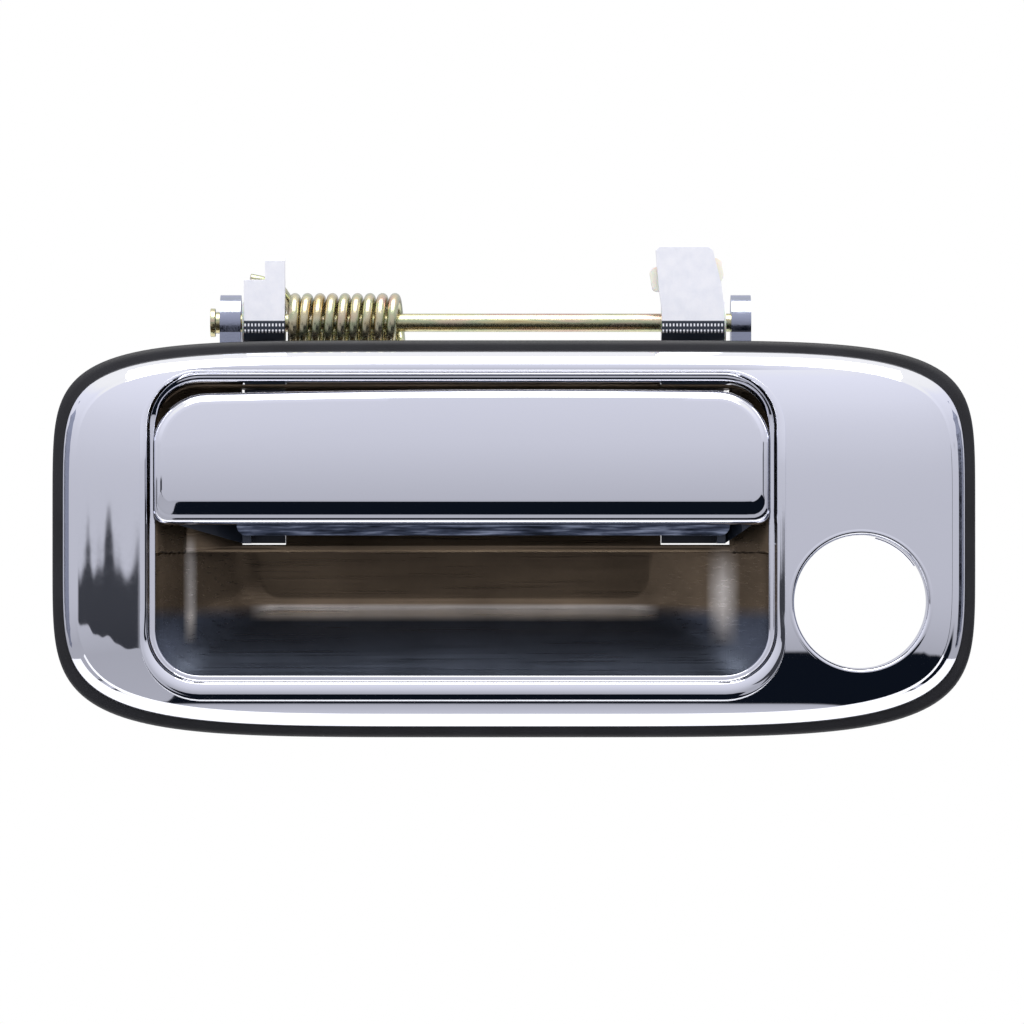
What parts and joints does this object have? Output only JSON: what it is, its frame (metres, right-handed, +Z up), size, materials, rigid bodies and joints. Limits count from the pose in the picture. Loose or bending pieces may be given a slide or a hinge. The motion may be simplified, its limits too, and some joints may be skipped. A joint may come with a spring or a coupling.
{
  "type": "car door handle",
  "caption": "Flap-type outside car door handle: chromed plate with finger recess, key-cylinder hole and a sprung pull-up grip hinged behind the plate.",
  "frame": {"origin": "midway between the two tapped fixing bosses, in the plane of the door skin", "axes": "+X to the key hole's end, +Z up as fitted, -Y out of the door towards the user"},
  "size_m": [0.1998, 0.0294, 0.1064],
  "materials": {
    "bezel_chrome": "bright chrome plate",
    "grip_chrome": "bright chrome plate",
    "arm_chrome": "chrome plate, unpolished casting",
    "gasket_rubber": "satin moulded rubber",
    "seal_foam": "matt",
    "buffer_rubber": "matt",
    "dish_steel": "pressed and polished, scratched by use",
    "web_steel": "rolled sheet, scratched",
    "screw_steel": "zinc plated",
    "yellow_zinc": "yellow chromate over zinc",
    "spring_zinc": "yellow chromate over zinc",
    "bush_nylon": "natural nylon",
    "clip_nylon": "natural nylon"
  },
  "bodies": {
    "plate": {"bezel": "bezel_chrome", "gasket": "gasket_rubber", "recess_cup": "dish_steel", "cup_seal": "seal_foam", "cup_screws": "screw_steel", "close_buffer_left": "buffer_rubber", "close_buffer_right": "buffer_rubber", "open_stop_left": "buffer_rubber", "open_stop_right": "buffer_rubber", "pivot_pin": "yellow_zinc", "return_spring": "spring_zinc"},
    "handle": {"grip": "grip_chrome", "finger_web": "web_steel", "hinge_arm_left": "arm_chrome", "hinge_arm_right": "arm_chrome", "arm_screws": "screw_steel", "bush_left": "bush_nylon", "bush_right": "bush_nylon"},
    "clip": {"rod_clip": "clip_nylon"}
  },
  "joints": [
    {"name": "grip_hinge", "type": "hinge", "parent": "plate", "child": "handle", "pos_m": [0, 0.008, 0.037], "axis": [-1, 0, 0], "range_deg": [0, 25], "stiffness_Nm_per_rad": 0.94, "springref_deg": -20.05, "deforming": ["return_spring"]},
    {"name": "rod_clip_turn", "type": "hinge", "parent": "handle", "child": "clip", "pos_m": [0.0376, 0.0073, 0.0474], "axis": [0, 1, 0], "range_deg": [-10, 10]}
  ]
}
